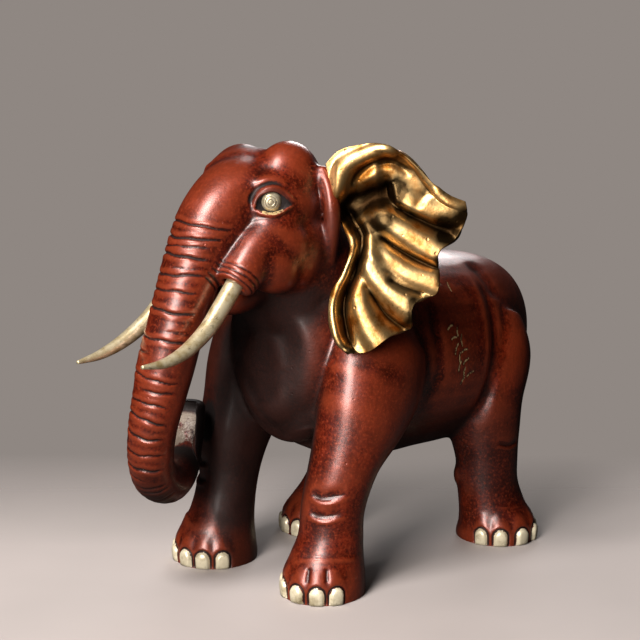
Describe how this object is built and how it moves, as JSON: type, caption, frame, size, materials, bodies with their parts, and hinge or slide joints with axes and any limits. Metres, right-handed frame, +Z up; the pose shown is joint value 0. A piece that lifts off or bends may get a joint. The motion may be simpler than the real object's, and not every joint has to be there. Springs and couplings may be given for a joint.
{
  "type": "elephant statue",
  "caption": "Standing elephant statue in cast copper with gilt ears, silvered tusks, eyes and toenails, trunk curled to a foreleg.",
  "frame": {"origin": "on the ground, at the middle of the statue's length and width", "axes": "+Z up, the elephant faces -Y and its left side is +X"},
  "size_m": [0.1856, 0.3168, 0.2399],
  "materials": {
    "red_patina": "red-brown patinated copper, waxed to a soft gloss",
    "gilt": "worn fire gilding over copper with dark hollows",
    "silvered": "aged silvering, pale champagne"
  },
  "bodies": {
    "root": {"body": "red_patina", "left_ear": "gilt", "right_ear": "gilt", "left_tusk": "silvered", "right_tusk": "silvered", "left_eye": "silvered", "right_eye": "silvered"}
  },
  "joints": []
}
